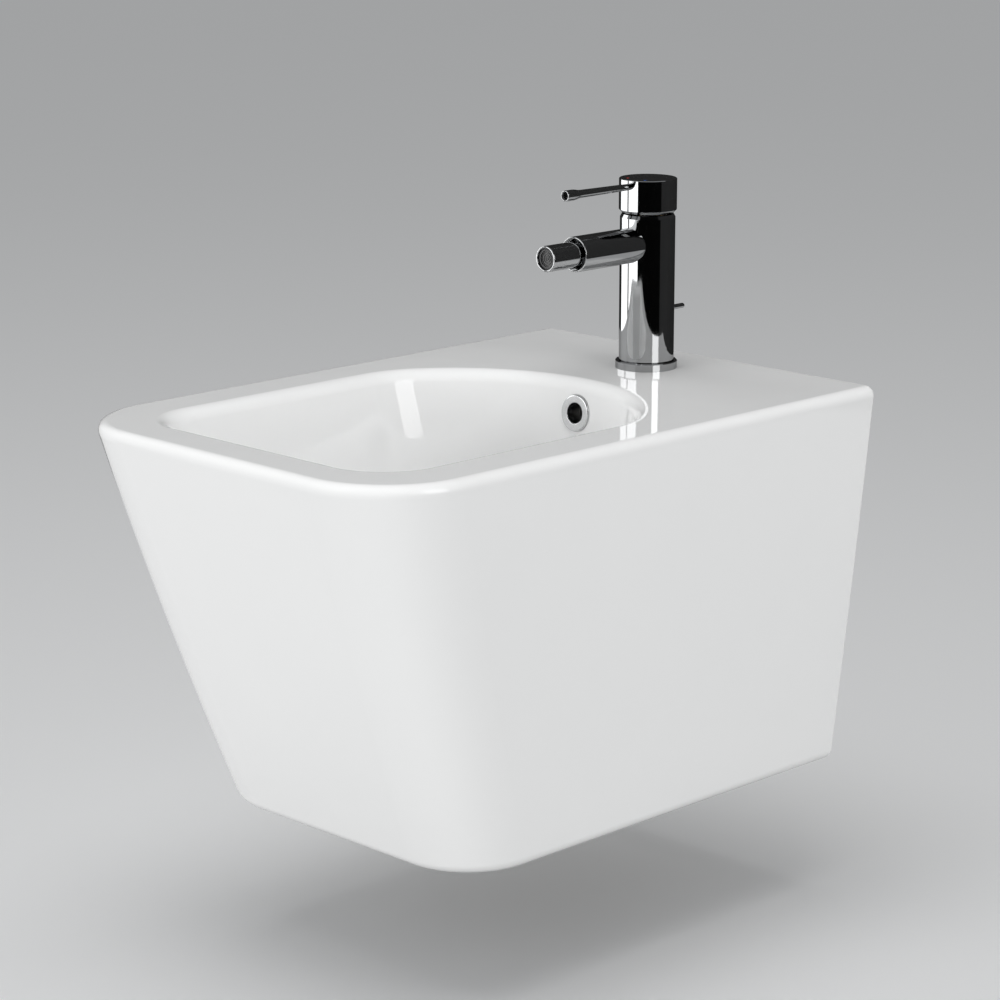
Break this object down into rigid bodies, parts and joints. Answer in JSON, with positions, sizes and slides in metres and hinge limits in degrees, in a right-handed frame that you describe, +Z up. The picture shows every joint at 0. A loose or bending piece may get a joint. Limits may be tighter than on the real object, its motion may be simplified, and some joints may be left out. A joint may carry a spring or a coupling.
{
  "type": "wall-hung bidet",
  "caption": "Wall-hung bidet: tapered ceramic body with a deep bowl, overflow rosette, single-lever mixer with a swivelling nozzle, and a pop-up waste worked by a lift knob.",
  "frame": {"origin": "on the wall plane, midway between the two wall fixing holes", "axes": "+Y into the wall, the front towards -Y, +Z up, x = 0 the symmetry plane"},
  "size_m": [0.3584, 0.5223, 0.4666],
  "materials": {
    "glaze": "white gloss glaze",
    "chrome": "polished chrome plate on brass",
    "satin_chrome": "satin chrome plate",
    "rubber": "moulded black rubber",
    "bush_plastic": "pale moulded plastic",
    "cartridge_plastic": "grey moulded plastic",
    "disc_ceramic": "lapped alumina",
    "steel": "bright steel",
    "brass": "turned brass",
    "aerator_plastic": "dark grey moulded plastic",
    "red_enamel": "red enamel",
    "blue_enamel": "blue enamel"
  },
  "bodies": {
    "base": {"base_ring": "chrome", "base_seal": "rubber", "cartridge_housing": "cartridge_plastic", "cartridge_nut": "brass", "cartridge_o_ring": "rubber", "ceramic_basin": "glaze", "ceramic_bowl_front": "glaze", "ceramic_bowl_left": "glaze", "ceramic_bowl_rear": "glaze", "ceramic_bowl_right": "glaze", "ceramic_deck": "glaze", "ceramic_foot": "glaze", "ceramic_skirt": "glaze", "fixed_disc": "disc_ceramic", "fixing_bushes": "bush_plastic", "horseshoe_gasket": "rubber", "horseshoe_plate": "steel", "inlet_seals": "rubber", "mounting_nut": "brass", "mounting_stud": "steel", "nozzle_collar": "chrome", "overflow_ring": "satin_chrome", "pivot_nut": "brass", "pivot_seats": "bush_plastic", "spout": "chrome", "tap_body": "chrome", "waste_body": "brass", "waste_flange": "chrome", "waste_gasket": "rubber", "waste_nut": "brass", "waste_seal": "rubber"},
    "turret": {"cartridge_turret": "cartridge_plastic", "stem_pin": "steel"},
    "handle": {"cartridge_stem": "steel", "handle_cap": "chrome", "lever_rod": "chrome", "hot_mark": "red_enamel", "cold_mark": "blue_enamel"},
    "disc": {"moving_disc": "disc_ceramic", "disc_carrier": "cartridge_plastic"},
    "swivel": {"nozzle_seat": "bush_plastic", "nozzle_seal": "rubber"},
    "outlet": {"nozzle": "chrome", "aerator_gasket": "rubber", "aerator_housing": "aerator_plastic", "aerator_screen": "aerator_plastic"},
    "lift": {"lift_rod": "steel", "lift_knob": "chrome", "rod_coupling": "brass", "coupling_screw": "steel"},
    "pivot": {"pivot_rod": "steel"},
    "plug": {"waste_plug": "chrome", "plug_seal": "rubber"}
  },
  "joints": [
    {"name": "handle_turn", "type": "hinge", "parent": "base", "child": "turret", "pos_m": [0, -0.0692, 0.2075], "axis": [0, 0, 1], "range_deg": [-50, 50]},
    {"name": "handle_tilt", "type": "hinge", "parent": "turret", "child": "handle", "pos_m": [0, -0.0692, 0.2075], "axis": [-1, 0, 0], "range_deg": [0, 18]},
    {"name": "disc_slide", "type": "slide", "parent": "turret", "child": "disc", "axis": [0, -1, 0], "range_m": [0, 0.00282]},
    {"name": "nozzle_turn", "type": "hinge", "parent": "base", "child": "swivel", "pos_m": [0, -0.1472, 0.2006], "axis": [0, -1, 0], "continuous": true},
    {"name": "nozzle_tilt", "type": "hinge", "parent": "swivel", "child": "outlet", "pos_m": [0, -0.1472, 0.2006], "axis": [1, 0, 0], "range_deg": [-12, 12]},
    {"name": "knob_lift", "type": "slide", "parent": "base", "child": "lift", "axis": [0, 0, 1], "range_m": [0, 0.032]},
    {"name": "rod_swing", "type": "hinge", "parent": "base", "child": "pivot", "pos_m": [0, -0.215, -0.106], "axis": [1, 0, 0], "range_deg": [0, 11.55]},
    {"name": "plug_drop", "type": "slide", "parent": "base", "child": "plug", "axis": [0, 0, -1], "range_m": [0, 0.00605]}
  ],
  "couplings": [
    {"joint": "disc_slide", "follows": "handle_tilt", "m_per_rad": 0.00895},
    {"joint": "rod_swing", "follows": "knob_lift", "rad_per_m": 6.2972},
    {"joint": "plug_drop", "follows": "knob_lift", "ratio": 0.18892}
  ]
}
